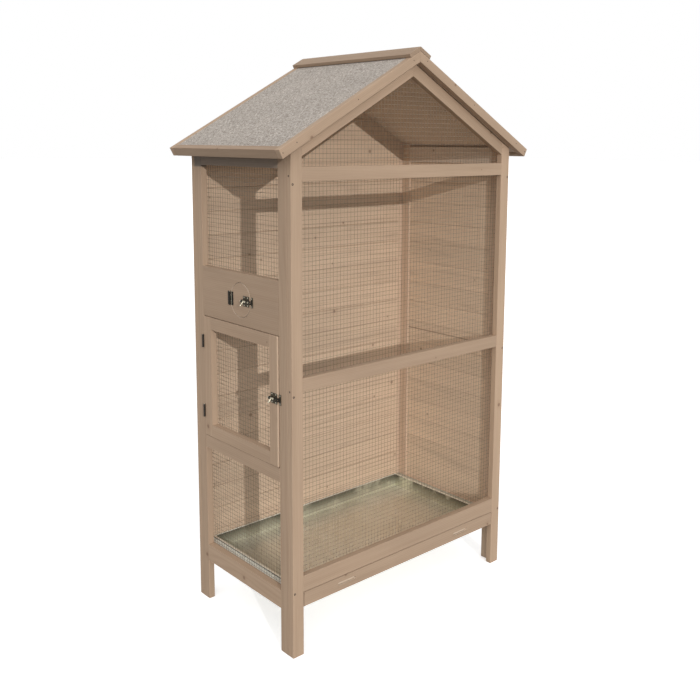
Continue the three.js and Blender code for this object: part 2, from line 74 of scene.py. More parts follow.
def add_camera():
    forward = Vector((math.sin(YAW) * math.cos(DIP), math.cos(YAW) * math.cos(DIP), -math.sin(DIP)))
    right = Vector((math.cos(YAW), -math.sin(YAW), 0))
    up = right.cross(forward)
    rolled_right = right * math.cos(ROLL) + up * math.sin(ROLL)
    rolled_up = up * math.cos(ROLL) - right * math.sin(ROLL)
    turn = Matrix((rolled_right, rolled_up, -forward)).transposed().to_4x4()
    data = bpy.data.cameras.new("camera")
    data.sensor_width = SENSOR_WIDTH
    data.lens = SENSOR_WIDTH * FOCAL_LENGTH / PHOTO_SIDE
    data.shift_x = 0.5 - VIEW_MIDDLE[0] / PHOTO_SIDE
    data.shift_y = VIEW_MIDDLE[1] / PHOTO_SIDE - 0.5
    data.clip_start = NEAREST
    data.clip_end = FURTHEST
    camera = bpy.data.objects.new("camera", data)
    camera.matrix_world = Matrix.Translation(EYE) @ turn
    bpy.context.scene.collection.objects.link(camera)
    bpy.context.scene.camera = camera


def add_lamps():
    for name, (way, power, width) in LAMPS.items():
        light = bpy.data.lights.new(name, "SUN")
        light.energy = power
        light.angle = math.radians(width)
        lamp = bpy.data.objects.new(name, light)
        lamp.rotation_euler = way.to_track_quat("-Z", "Y").to_euler()
        bpy.context.scene.collection.objects.link(lamp)


class Nodes:
    """Short calls for the nodes of the sky or of a material."""

    def __init__(self, tree):
        self.tree = tree

    def node(self, kind, inputs=(), **settings):
        made = self.tree.nodes.new("ShaderNode" + kind)
        for key, value in settings.items():
            setattr(made, key, value)
        for key, value in dict(inputs).items():
            self.put(made.inputs[key], value)
        return made

    def put(self, socket, value):
        if isinstance(value, bpy.types.NodeSocket):
            self.tree.links.new(value, socket)
        else:
            socket.default_value = value

    def math(self, kind, a, b=0.0):
        return self.node("Math", {0: a, 1: b}, operation=kind).outputs[0]

    def gap(self, a, b):
        """How far two numbers are apart."""
        return self.math("ABSOLUTE", self.math("SUBTRACT", a, b))

    def weigh(self, *parts):
        """The sum of some values, each times its weight."""
        total = 0.0
        for value, weight in parts:
            total = self.math("ADD", total, self.math("MULTIPLY", value, weight))
        return total

    def vector(self, kind, a, b=(0, 0, 0)):
        made = self.node("VectorMath", {0: a, 1: b}, operation=kind)
        return made.outputs["Value" if kind == "LENGTH" else "Vector"]

    def split(self, vector):
        return self.node("SeparateXYZ", {0: vector}).outputs[:3]

    def join(self, x, y, z):
        return self.node("CombineXYZ", {0: x, 1: y, 2: z}).outputs[0]

    def ramp(self, value, low, high, out_low=0.0, out_high=1.0):
        return self.node("MapRange", {0: value, 1: low, 2: high, 3: out_low, 4: out_high}).outputs[0]

    def line(self, off, shape):
        """A soft line, by the distance off it. Its shape is its outer edge, its core and its strength."""
        edge, core, strength = shape
        return self.ramp(off, edge, core, 0.0, strength)

    def noise(self, vector, scale=1.0, detail=2.0, rough=0.5):
        inputs = {"Vector": vector, "Scale": scale, "Detail": detail, "Roughness": rough}
        return self.node("TexNoise", inputs).outputs["Fac"]

    def drawn_noise(self, vector, scales, detail=2.0, rough=0.5):
        """Noise with a scale of its own along each axis."""
        return self.noise(self.vector("MULTIPLY", vector, scales), 1.0, detail, rough)

    def cells(self, vector, scale):
        """A random number for each small cell."""
        made = self.node("TexVoronoi", {"Vector": vector, "Scale": scale})
        return self.split(made.outputs["Color"])[0]

    def mix(self, share, a, b, kind="MIX"):
        made = self.node("Mix", data_type="RGBA", blend_type=kind, clamp_factor=True)
        for number, value in ((0, share), (6, a), (7, b)):
            self.put(made.inputs[number], value)
        return made.outputs[2]

    def levelled(self, color, level):
        """A colour times one number."""
        return self.mix(1.0, color, self.join(level, level, level), "MULTIPLY")


class Shader(Nodes):
    """A node material. Its place is the point in the part's own frame."""

    def __init__(self, name):
        self.mat = bpy.data.materials.new(name)
        self.mat.use_nodes = True
        super().__init__(self.mat.node_tree)
        self.bsdf = self.tree.nodes["Principled BSDF"]
        coordinates = self.node("TexCoord").outputs
        self.place = coordinates["Object"]
        self.normal = coordinates["Normal"]

    def bump(self, height, strength, distance):
        made = self.node("Bump", {"Height": height, "Strength": strength, "Distance": distance})
        self.put(self.bsdf.inputs["Normal"], made.outputs[0])

    def finish(self, color, rough, metal=0.0, specular=0.5):
        self.put(self.bsdf.inputs["Base Color"], color)
        self.put(self.bsdf.inputs["Roughness"], rough)
        self.put(self.bsdf.inputs["Metallic"], metal)
        self.put(self.bsdf.inputs["Specular IOR Level"], specular)
        return self.mat


def add_sky():
    """An even sky, which is plain white to the camera, in gloss and through glass."""
    world = bpy.data.worlds.new("sky")
    bpy.context.scene.world = world
    world.use_nodes = True
    sky = Nodes(world.node_tree)
    sky.tree.nodes.clear()
    rays = sky.node("LightPath").outputs
    seen = sky.math("MAXIMUM", rays["Is Camera Ray"], rays["Is Glossy Ray"])
    seen = sky.math("MAXIMUM", seen, rays["Is Transmission Ray"])
    plain = sky.node("Background", {"Color": SKY_COLOR, "Strength": SKY_POWER}).outputs[0]
    white = sky.node("Background", {"Color": WHITE, "Strength": 1}).outputs[0]
    mixed = sky.node("MixShader", {0: seen, 1: plain, 2: white}).outputs[0]
    sky.node("OutputWorld", {"Surface": mixed})


def tinted(color, tone):
    """A colour times its tone, which is one number or one for each of red, green and blue."""
    shares = tone if isinstance(tone, tuple) else (tone, tone, tone)
    return tuple(c * share for c, share in zip(color, shares)) + (1,)


# Planed fir under a thin beige stain
WOOD = (0.452, 0.323, 0.223)
WOOD_DARK = (0.335, 0.222, 0.147)
KNOT = (0.150, 0.080, 0.045, 1)
# Raw wood of the cuts, pale also as painted light on them
RAW_AND_LIT_WOOD = (0.60, 0.49, 0.38, 1)
# Painted highlight on the door's free edge
EDGE_HIGHLIGHT = (0.60, 0.445, 0.315, 1)
# Painted shade under the eave
EAVE_SHADE = (0.200, 0.162, 0.128, 1)
WOOD_SPECULAR = 0.35

# The turn that brings a piece's grain onto the X axis
GRAIN_TURNS = {
    "X": (0, 0, 0),
    "Y": (0, 0, math.radians(-90)),
    "Z": (0, math.radians(90), 0),
    "left_slope": (0, ROOF_PITCH, 0),
    "right_slope": (0, -ROOF_PITCH, 0),
}

# Each board and each piece is cut from its own stretch of the grain
BOARD_SHIFT, PIECE_SHIFT = 31.0, 7.31

# Repeats per metre along the grain, across it and into it
WARP_SCALES = (1.6, 9.0, 9.0)
FIBRE_SCALES = (9.0, 420.0, 420.0)
STREAK_SCALES = (1.8, 60.0, 60.0)
BLOTCH_SCALES = (2.5, 11.0, 11.0)
FIGURE_SCALES = (0.9, 22.0, 22.0)
WOBBLE_SCALES = (160.0, 160.0, 160.0)

# Growth rings round a heart that lies beside the piece, a little further off in some than in others
RING_PITCH = 0.0046
RING_WARP = 0.030
RING_SHARPNESS = 2.4
HEART_BESIDE, HEART_STEP, HEART_STEPS, HEART_BEHIND = 0.05, 0.01, 5, 0.02

# Knots: cells per metre along and across, radius, ragged edge, fading of the core, reach of the halo
KNOT_CELLS = (3.1, 13.0)
KNOT_RADIUS = 0.0075
KNOT_RAGGED = 0.0035
KNOT_CORE, KNOT_FADE = 0.55, 0.0004
KNOT_HALO = 3.2

# How much each part of the grain darkens the wood, at most
RINGS_DARK, FIBRE_DARK, STREAK_DARK, HALO_DARK, CORE_DARK = 0.24, 0.20, 0.26, 0.22, 0.62

# The boards of a wall lie level, and WALL_JOINT is the height of the joint between its two panels. The lines
# on them are an outer edge, a core and a strength. FIGURE_LINE is as shares of the spacing of the wavy lines.
BOARD_BASE, BOARD_PITCH = 0.131, 0.074
WALL_JOINT, NO_JOINT = 0.770, 9.0
SEAM_LINE = (0.0028, 0.0010, 0.27)
JOINT_LINE = (0.0028, 0.0012, 0.95)
FIGURE_LINE = (0.12, 0.02, 0.20)
FIGURE_COUNT = 5.0
LINE_TONE = 0.62

# The two routed finger pulls and the round saw cut of the hatch, pale also as painted light, the painted
# shade under the eave and the painted highlight on the door's free edge
PULL_X, PULL_HALF_LONG, PULL_Z, PULL_HALF_HIGH, PULL_PAST_Y = 0.250, 0.0365, 0.1675, 0.0056, -0.2474
HATCH_Y, HATCH_Z, HATCH_RADIUS, CUT_HALF_WIDE = -0.006, 1.003, 0.05075, 0.0010
EAVE_SHADE_BASE, EAVE_SHADE_FADE = 1.378, 0.005
EDGE_HIGHLIGHT_WIDE = 0.0026


def board_tones(s, seed):
    """A random number for each board of a wall."""
    height = s.split(s.place)[2]
    number = s.math("FLOOR", s.math("DIVIDE", s.math("SUBTRACT", height, BOARD_BASE), BOARD_PITCH))
    picked = s.node("TexWhiteNoise", {"W": s.math("ADD", number, seed)}, noise_dimensions="1D")
    return picked.outputs["Value"]


def grain_axes(s, grain, seed, board_tone):
    """The place as its way along the grain, across it and into it. Each piece has grain of its own."""
    turned = s.node("Mapping", {"Vector": s.place, "Rotation": GRAIN_TURNS[grain]}).outputs[0]
    along, across, depth = s.split(turned)
    if board_tone is not None:
        along = s.math("ADD", along, s.math("MULTIPLY", board_tone, BOARD_SHIFT))
    return s.math("ADD", along, seed * PIECE_SHIFT), across, depth


def growth_rings(s, axes, seed):
    """Late wood is one, and the soft wood between two rings is nought."""
    _, across, depth = axes
    warp = s.drawn_noise(s.join(*axes), WARP_SCALES)
    beside = HEART_BESIDE + HEART_STEP * (seed % HEART_STEPS)
    from_heart = s.join(0.0, s.math("ADD", across, beside), s.math("ADD", depth, HEART_BEHIND))
    reach = s.math("ADD", s.vector("LENGTH", from_heart), s.math("MULTIPLY", warp, RING_WARP))
    wave = s.math("SINE", s.math("MULTIPLY", reach, 2 * math.pi / RING_PITCH))
    return s.math("POWER", s.ramp(wave, -1.0, 1.0), RING_SHARPNESS)


def knots(s, axes, clear):
    """Core and halo of the knots. They lie on a map of length and width, and so pass through a piece."""
    along, across, depth = axes
    wide = s.math("ADD", across, depth)
    flat = s.join(s.math("MULTIPLY", along, KNOT_CELLS[0]), s.math("MULTIPLY", wide, KNOT_CELLS[1]), 0.0)
    cells = s.node("TexVoronoi", {"Vector": flat, "Scale": 1.0}, voronoi_dimensions="2D")
    off = s.vector("SUBTRACT", flat, cells.outputs["Position"])
    off = s.vector("MULTIPLY", off, (1 / KNOT_CELLS[0], 1 / KNOT_CELLS[1], 0.0))
    wobble = s.math("SUBTRACT", s.drawn_noise(s.join(*axes), WOBBLE_SCALES, 1.0), 0.5)
    away = s.math("ADD", s.vector("LENGTH", off), s.math("MULTIPLY", wobble, KNOT_RAGGED))
    chance = s.split(cells.outputs["Color"])[0]
    size = s.ramp(chance, clear, 1.0, 0.0, KNOT_RADIUS)
    there = s.ramp(chance, clear - 0.01, clear + 0.02)
    core = s.ramp(away, s.math("MULTIPLY", size, KNOT_CORE), s.math("ADD", size, KNOT_FADE), 1.0, 0.0)
    halo = s.ramp(away, size, s.math("MULTIPLY", size, KNOT_HALO), 1.0, 0.0)
    return s.math("MULTIPLY", core, there), s.math("MULTIPLY", halo, there)


def board_lines(s, axes, joint):
    """Dark lines where boards meet and at the panels' joint, and thin wavy ones along the grain."""
    height = s.split(s.place)[2]
    turns = s.math("DIVIDE", s.math("SUBTRACT", height, BOARD_BASE), BOARD_PITCH)
    share = s.math("FRACT", s.math("ADD", turns, 0.5))
    to_seam = s.math("MULTIPLY", s.gap(share, 0.5), BOARD_PITCH)
    seams = s.math("MAXIMUM", s.line(to_seam, SEAM_LINE), s.line(s.gap(height, joint), JOINT_LINE))
    wave = s.drawn_noise(s.join(*axes), FIGURE_SCALES, 1.0)
    figure = s.gap(s.math("FRACT", s.math("MULTIPLY", wave, FIGURE_COUNT)), 0.5)
    return s.math("MAXIMUM", seams, s.line(figure, FIGURE_LINE))


def pull_cuts_painted_lit(s):
    """Where the finger pulls cut through the stain: raw wood, pale also as painted light in the recess."""
    x, y, z = s.split(s.place)
    long = s.math("LESS_THAN", s.gap(s.math("ABSOLUTE", x), PULL_X), PULL_HALF_LONG)
    high = s.math("LESS_THAN", s.gap(z, PULL_Z), PULL_HALF_HIGH)
    behind = s.math("GREATER_THAN", y, PULL_PAST_Y)
    return s.math("MULTIPLY", s.math("MULTIPLY", long, high), behind), RAW_AND_LIT_WOOD


def hatch_cut_and_highlight(s):
    """The sawn edge of the hatch disc and of its hole: raw wood, pale also as a painted highlight in the gap.
    """
    _, y, z = s.split(s.place)
    flat = s.join(0.0, s.math("SUBTRACT", y, HATCH_Y), s.math("SUBTRACT", z, HATCH_Z))
    off = s.gap(s.vector("LENGTH", flat), HATCH_RADIUS)
    return s.math("LESS_THAN", off, CUT_HALF_WIDE), RAW_AND_LIT_WOOD


def painted_eave_shade(s):
    """Painted shade on the top of the rear stile, under the eave."""
    return s.ramp(s.split(s.place)[2], EAVE_SHADE_BASE, EAVE_SHADE_BASE + EAVE_SHADE_FADE), EAVE_SHADE


def painted_edge_highlight(s):
    """A painted highlight down the door's free edge."""
    name = "door_free_stile"
    return s.math("LESS_THAN", s.split(s.place)[1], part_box(name)[0].y + EDGE_HIGHLIGHT_WIDE), EDGE_HIGHLIGHT


def wood(name, grain, seed, tone, clear, joint=None, mark=None):
    """Fir with rings, fibres and knots. Clear is the share of its cells that have no knot.

    A wall of boards is given the height of its panels' joint. Mark draws a piece's own marks, with their
    painted light and shade.
    """
    s = Shader(name)
    board_tone = None if joint is None else board_tones(s, seed)
    axes = grain_axes(s, grain, seed, board_tone)
    line = s.join(*axes)
    rings = growth_rings(s, axes, seed)
    fibre = s.drawn_noise(line, FIBRE_SCALES, 3.0, 0.6)
    streak = s.drawn_noise(line, STREAK_SCALES)
    core, halo = knots(s, axes, clear)

    dark = s.weigh((rings, RINGS_DARK), (s.ramp(fibre, 0.35, 0.75), FIBRE_DARK),
                   (s.ramp(streak, 0.40, 0.72), STREAK_DARK), (halo, HALO_DARK))
    shade = tinted(WOOD_DARK, tone)
    color = s.mix(dark, tinted(WOOD, tone), shade)
    if joint is not None:
        color = s.mix(board_lines(s, axes, joint), color, tinted(shade, LINE_TONE))
    color = s.mix(s.math("MULTIPLY", core, CORE_DARK), color, KNOT)
    level = s.ramp(s.drawn_noise(line, BLOTCH_SCALES), 0.3, 0.7, 0.94, 1.05)
    if board_tone is not None:
        level = s.math("MULTIPLY", level, s.ramp(board_tone, 0.0, 1.0, 0.93, 1.05))
    color = s.levelled(color, level)
    if mark is not None:
        share, mark_color = mark(s)
        color = s.mix(share, color, mark_color)
    s.bump(s.weigh((fibre, 0.8), (rings, -0.4)), 0.35, 0.0004)
    return s.finish(color, s.ramp(fibre, 0.2, 0.8, 0.62, 0.78), specular=WOOD_SPECULAR)


# Mineral felt: bitumen sheet covered with grey grit. Scales are repeats per metre.
GRIT_SCALE, COARSE_SCALE, PATCH_SCALE = 430.0, 150.0, 9.0
GRIT_DARK = (0.325, 0.284, 0.244, 1)
GRIT_PALE = (0.523, 0.465, 0.414, 1)
GRIT_HOLLOW = (0.222, 0.191, 0.168, 1)
GRIT_CRUMB = (0.65, 0.605, 0.553, 1)


def felt_material():
    s = Shader("mineral_felt")
    grit = s.cells(s.place, GRIT_SCALE)
    coarse = s.noise(s.place, COARSE_SCALE, 3.0, 0.7)
    patch = s.noise(s.place, PATCH_SCALE, 3.0)
    color = s.mix(s.ramp(grit, 0.1, 0.9), GRIT_DARK, GRIT_PALE)
    color = s.mix(s.ramp(coarse, 0.56, 0.66), color, GRIT_HOLLOW)
    color = s.mix(s.ramp(coarse, 0.44, 0.36), color, GRIT_CRUMB)
    color = s.levelled(color, s.ramp(patch, 0.3, 0.7, 0.95, 1.05))
    s.bump(s.weigh((grit, 0.6), (coarse, 1.0)), 0.8, 0.0012)
    return s.finish(color, 0.92, specular=0.2)


# Galvanised sheet of the tray. Heights are in metres, and scales are repeats per metre.
RIM_BASE, RIM_FADE, TRAY_FLOOR = 0.1872, 0.0006, 0.144
SPANGLE_SCALE, CLOUD_SCALE, WASH_SCALE, DENT_SCALE = 55.0, 14.0, 3.2, 26.0
SPANGLE_DARK = (0.76, 0.74, 0.64, 1)
SPANGLE_PALE = (0.86, 0.84, 0.73, 1)
CLOUD = (0.86, 0.83, 0.73, 1)
WASH = (0.70, 0.65, 0.52, 1)
# Painted shadow on the left of the tray
LEFT_SHADOW = (0.26, 0.255, 0.19, 1)
# Painted dark reflection on the upright walls, darker towards the top and paler towards the right
REFLECTION_FOOT = (0.60, 0.58, 0.45, 1)
REFLECTION_TOP = (0.080, 0.080, 0.052, 1)
REFLECTION_PALE = (0.68, 0.66, 0.52, 1)
# Painted highlight along the top rim
RIM_HIGHLIGHT = (0.90, 0.88, 0.80, 1)


def tray_wall_painted_reflection(s, cloud):
    """Painted dark reflection that darkens up the walls, paler in patches towards the right."""
    x, _, z = s.split(s.place)
    painted_dark_reflection = s.mix(s.ramp(z, TRAY_FLOOR, RIM_BASE), REFLECTION_FOOT, REFLECTION_TOP)
    paler_to_right = s.math("MULTIPLY", s.ramp(cloud, 0.50, 0.66), s.ramp(x, -0.35, 0.30))
    return s.mix(paler_to_right, painted_dark_reflection, REFLECTION_PALE)


def galvanised_material():
    """Sheet with a faint spangle, a painted shadow at its left, a painted dark reflection on its upright
    walls and a painted highlight along its top rim.
    """
    s = Shader("galvanised_sheet")
    x, _, z = s.split(s.place)
    spangle = s.cells(s.place, SPANGLE_SCALE)
    cloud = s.noise(s.place, CLOUD_SCALE, 4.0, 0.6)
    wash = s.noise(s.place, WASH_SCALE, 3.0, 0.55)
    facing_up = s.math("ABSOLUTE", s.split(s.normal)[2])
    color = s.mix(spangle, SPANGLE_DARK, SPANGLE_PALE)
    color = s.mix(s.ramp(cloud, 0.45, 0.75), color, CLOUD)
    color = s.mix(s.ramp(wash, 0.42, 0.60, 0.0, 0.5), color, WASH)
    color = s.mix(s.ramp(x, -0.26, -0.40, 0.0, 0.92), color, LEFT_SHADOW)
    color = s.mix(s.ramp(facing_up, 0.6, 0.3), color, tray_wall_painted_reflection(s, cloud))
    color = s.mix(s.ramp(z, RIM_BASE - RIM_FADE, RIM_BASE), color, RIM_HIGHLIGHT)
    rough = s.math("ADD", s.ramp(spangle, 0.0, 1.0, 0.30, 0.42), s.ramp(cloud, 0.3, 0.7, -0.03, 0.08))
    s.bump(s.noise(s.place, DENT_SCALE, 3.0), 0.25, 0.0008)
    return s.finish(color, rough, 0.6)


# Small steel parts: colour, roughness, metallic share and specular level
METALS = {
    "zinc_plate": ((0.60, 0.56, 0.44), 0.34, 0.95, 0.5),
    "bright_steel": ((0.56, 0.51, 0.39), 0.32, 0.9, 0.5),
    "dark_steel": ((0.040, 0.034, 0.028), 0.42, 0.3, 0.1),
    "glossy_steel": ((0.026, 0.023, 0.018), 0.40, 0.1, 0.06),
    "plate_steel": ((0.070, 0.057, 0.038), 0.42, 0.2, 0.06),
    "screw_steel": ((0.050, 0.036, 0.028), 0.60, 0.2, 0.3),
    "wire_steel": ((0.240, 0.190, 0.138), 0.60, 0.0, 0.3),
    "cover_strip": ((0.78, 0.78, 0.70), 0.50, 0.10, 0.5),
    # Painted shade: a darker copy of the cover strip, for the right guide inside the cage
    "shaded_cover_strip": ((0.50, 0.49, 0.41), 0.50, 0.10, 0.5),
}
STEEL_CLOUD_SCALE = 240.0
SCRATCH_SCALES = (300.0, 1400.0, 2200.0)
DARKER, LIGHTER = 0.62, 1.18
# Painted shade: the bolt loops that stand out past the plate are dark
LOOP_SHADE, LOOP_FADE = (0.030, 0.027, 0.022, 1), 0.0004
# Painted highlight: a pale stripe down the hatch hinge's leaf beside its pin
STRIPE_HIGHLIGHT, STRIPE_HIGHLIGHT_HALF_WIDE = (0.42, 0.39, 0.30, 1), 0.0012
LOOP_FROM_PLATE = 0.0016
STRIPE_HIGHLIGHT_FROM_PIN = 0.0046


def metal(name, kind=None, past=None, highlight_y=None):
    """Clouded, scratched metal: painted shade where it stands out to the left past an X, and a painted
    highlight along a Y.
    """
    color, rough, metallic, specular = METALS[kind or name]
    s = Shader(name)
    x, y, _ = s.split(s.place)
    cloud = s.noise(s.place, STEEL_CLOUD_SCALE, 3.0, 0.6)
    tone = s.mix(s.ramp(cloud, 0.35, 0.65), tinted(color, DARKER), tinted(color, LIGHTER))
    if past is not None:
        tone = s.mix(s.ramp(x, past, past - LOOP_FADE), tone, LOOP_SHADE)
    if highlight_y is not None:
        tone = s.mix(s.math("LESS_THAN", s.gap(y, highlight_y), STRIPE_HIGHLIGHT_HALF_WIDE), tone, STRIPE_HIGHLIGHT)
    s.bump(s.drawn_noise(s.place, SCRATCH_SCALES), 0.15, 0.0001)
    return s.finish(tone, s.ramp(cloud, 0.2, 0.8, rough - 0.07, rough + 0.1), metallic, specular)


def dress(name, material):
    node = nodes[name]
    node.data.materials.clear()
    node.data.materials.append(material)


# Planed slats have slightly rounded edges
EDGE_ROUND = 0.0012
EDGE_SHARPER_THAN = math.radians(35)
WELD_GAP = 0.00001


def soften(node, width):
    weld = node.modifiers.new("weld", "WELD")
    weld.merge_threshold = WELD_GAP
    bevel = node.modifiers.new("round", "BEVEL")
    bevel.width = width
    bevel.segments = 2
    bevel.limit_method = "ANGLE"
    bevel.angle_limit = EDGE_SHARPER_THAN


WOODEN = {
    "X": ["front_top_rail", "front_mid_rail", "front_bottom_rail", "tray_front"],
    "Y": ["left_top_rail", "left_bottom_rail", "left_sill_rail", "left_hatch_board", "hatch_panel",
          "door_bottom_rail", "door_top_rail", "right_bottom_rail", "right_top_rail",
          "left_runner", "right_runner", "left_roof_deck", "right_roof_deck",
          "left_eave_strip", "right_eave_strip", "left_ridge_cap", "right_ridge_cap"],
    "Z": ["front_left_stile", "front_right_stile", "left_front_stile", "left_rear_stile",
          "door_hinge_stile", "door_free_stile", "right_front_stile", "right_rear_stile",
          "back_left_stile", "back_right_stile"],
    "left_slope": ["front_left_rafter", "front_left_bargeboard", "back_left_bargeboard"],
    "right_slope": ["front_right_rafter", "front_right_bargeboard", "back_right_bargeboard"],
}
# Each board's seed is its number in the lists above, apart from these
OTHER_SEEDS = {"left_eave_strip": 83, "hatch_panel": 57}
CLEAR = 0.55
CLEARER = {
    "left_hatch_board": 0.80, "hatch_panel": 0.90, "door_free_stile": 0.75, "door_hinge_stile": 0.75,
    "door_top_rail": 0.80, "door_bottom_rail": 0.75, "left_eave_strip": 0.80, "front_left_stile": 0.70,
}
TONE_RANGE = (0.93, 1.07)
# Painted light: the roof decks and right_top_rail are lighter and bluer, for light in the shade under the
# roof
DECK_TONE = (1.60, 1.82, 2.08)
TONES = {
    "left_ridge_cap": 0.81, "right_ridge_cap": 0.81, "left_eave_strip": 0.85,
    "left_roof_deck": DECK_TONE, "right_roof_deck": DECK_TONE, "right_top_rail": DECK_TONE,
    # Painted shade: left_top_rail is darker and bluer, for the shade under the eave
    "left_top_rail": (0.60, 0.66, 0.74), "right_bottom_rail": (1.40, 1.46, 1.52),
    # Painted light: right_bottom_rail, the right stiles and back_right_stile are lighter and bluer, for light
    # inside the cage
    "right_front_stile": (1.45, 1.52, 1.62), "right_rear_stile": (1.45, 1.50, 1.56),
    "back_right_stile": (1.45, 1.50, 1.56),
    # Painted light: front_left_rafter is lighter, to lift the bargeboard's shade on it
    "front_left_rafter": 1.12, "front_right_stile": 1.14, "front_top_rail": 1.01, "front_mid_rail": 0.97,
    "left_front_stile": 0.99, "left_rear_stile": 0.94, "left_hatch_board": 0.91, "hatch_panel": 0.94,
    "door_top_rail": 0.96,
}
FINE_EDGES = {
    "hatch_panel": 0.0003, "left_hatch_board": 0.0006, "door_free_stile": 0.0013,
    "door_hinge_stile": 0.0008, "door_top_rail": 0.0008, "door_bottom_rail": 0.0008,
}
MARKS = {
    "tray_front": pull_cuts_painted_lit, "hatch_panel": hatch_cut_and_highlight, "left_hatch_board": hatch_cut_and_highlight,
    "left_rear_stile": painted_eave_shade, "door_free_stile": painted_edge_highlight,
}
WALL_CLEAR = 0.45
# Painted light: the inner walls are lighter and bluer, for light inside the cage
WALLS = {
    "back_boards": ("X", (1.52, 1.61, 1.67), NO_JOINT),
    "right_boards": ("Y", (1.68, 1.81, 1.90), WALL_JOINT),
}


def dress_wood():
    seed = 1
    for grain, names in WOODEN.items():
        for name in names:
            tone = TONES.get(name, random.Random(seed).uniform(*TONE_RANGE))
            clear = CLEARER.get(name, CLEAR)
            own_seed = OTHER_SEEDS.get(name, seed)
            dress(name, wood("fir_" + name, grain, own_seed, tone, clear, mark=MARKS.get(name)))
            soften(nodes[name], FINE_EDGES.get(name, EDGE_ROUND))
            seed += 1
    for name, (grain, tone, joint) in WALLS.items():
        dress(name, wood("fir_" + name, grain, seed, tone, WALL_CLEAR, joint))
        seed += 1


def dress_metal(zinc):
    dark = metal("dark_steel")
    bright = metal("bright_steel")
    low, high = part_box("hatch_hinge_pin")
    glossy = metal("glossy_steel", highlight_y=(low.y + high.y) / 2 - STRIPE_HIGHLIGHT_FROM_PIN)
    for name in nodes:
        if name.endswith("_pin"):
            dress(name, zinc)
        elif "bolt_plate" in name or "bolt_keeper" in name:
            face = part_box(name)[1].x - LOOP_FROM_PLATE
            dress(name, metal(name + "_steel", "plate_steel", past=face))
        elif "bolt_rod" in name:
            dress(name, bright)
        elif "_leaf" in name:
            dress(name, glossy if name.startswith("hatch") else dark)


def new_object(name, bm, material):
    mesh = bpy.data.meshes.new(name)
    bm.to_mesh(mesh)
    bm.free()
    mesh.materials.append(material)
    made = bpy.data.objects.new(name, mesh)
    bpy.context.scene.collection.objects.link(made)
    return made


def circle(bm, middle, side, up, radius, count):
    """A ring of new points round a middle."""
    turns = [2 * math.pi * k / count for k in range(count)]
    return [bm.verts.new(middle + (side * math.cos(a) + up * math.sin(a)) * radius) for a in turns]


def add_band(bm, lower, upper):
    count = len(lower)
    for k in range(count):
        after = (k + 1) % count
        bm.faces.new((lower[k], lower[after], upper[after], upper[k]))


def add_rod(bm, rings):
    """A closed solid through a row of rings."""
    bm.faces.new(list(reversed(rings[0])))
    for lower, upper in zip(rings, rings[1:]):
        add_band(bm, lower, upper)
    bm.faces.new(rings[-1])


# Half-inch welded mesh of thin wires that waver slightly. The level wires lie behind the upright ones, and
# under the gable each is as long as fits, found in small steps.
MESH_CELL = 0.0127
WIRE_RADIUS = 0.00045
WIRE_SIDES = 6
WIRE_STEP = 0.09
WIRE_WAVER = 0.00022
NET_TOP_MARGIN = 0.002
REACH_STEP = 0.001
LEAST_REACH = 0.006
FRONT_NET_SEED = 11
SIDE_NETS = [("left_upper_wire_mesh", "left_upper_net", "cage", 21),
             ("left_lower_wire_mesh", "left_lower_net", "cage", 22),
             ("door_wire_mesh", "door_net", "door", 23)]


def add_wire(bm, start, end, chooser):
    axis = (end - start).normalized()
    side = axis.orthogonal().normalized()
    up = axis.cross(side)
    steps = max(1, round((end - start).length / WIRE_STEP))
    rings = []
    for i in range(steps + 1):
        aside, above = chooser.uniform(-1, 1) * WIRE_WAVER, chooser.uniform(-1, 1) * WIRE_WAVER
        middle = start.lerp(end, i / steps) + side * aside + up * above
        rings.append(circle(bm, middle, side, up, WIRE_RADIUS, WIRE_SIDES))
    add_rod(bm, rings)


def add_upright_wires(bm, place, span, low_v, top_at, chooser):
    low_u, high_u = span
    columns = round((high_u - low_u) / MESH_CELL)
    first = (low_u + high_u) / 2 - columns / 2 * MESH_CELL
    for i in range(columns + 1):
        u = min(max(first + i * MESH_CELL, low_u), high_u)
        add_wire(bm, place(u, low_v, 0), place(u, top_at(u), 0), chooser)


def add_level_wires(bm, place, span, low_v, top_at, chooser):
    middle = (span[0] + span[1]) / 2
    v = low_v + MESH_CELL / 2
    while v < top_at(middle) - NET_TOP_MARGIN:
        reach = span[1] - middle
        while top_at(middle + reach) < v and reach > LEAST_REACH:
            reach -= REACH_STEP
        if reach > LEAST_REACH:
            add_wire(bm, place(middle - reach, v, 1), place(middle + reach, v, 1), chooser)
        v += MESH_CELL


def add_net(name, node, body, place, span, low_v, top_at, seed, material):
    """Wires over a span of u, from low_v up to top_at(u). Place turns u, v and the layer into a point."""
    bm = bmesh.new()
    chooser = random.Random(seed)
    add_upright_wires(bm, place, span, low_v, top_at, chooser)
    add_level_wires(bm, place, span, low_v, top_at, chooser)
    net = new_object(name, bm, material)
    for polygon in net.data.polygons:
        polygon.use_smooth = True
    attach(net, body)
    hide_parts(node)


def add_front_net(material):
    low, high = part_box("front_net")

    def place(u, v, layer):
        return Vector((u, low.y + WIRE_RADIUS * (1 + 2 * layer), v))

    def gable_line(u):
        return high.z - abs(u) * math.tan(ROOF_PITCH)

    add_net("front_wire_mesh", "front_net", "cage", place, (-high.x, high.x), low.z, gable_line,
            FRONT_NET_SEED, material)


def add_side_net(name, node, body, seed, material):
    low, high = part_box(node)

    def place(u, v, layer):
        return Vector((low.x + WIRE_RADIUS * (1 + 2 * layer), u, v))

    add_net(name, node, body, place, (low.y, high.y), low.z, lambda u: high.z, seed, material)


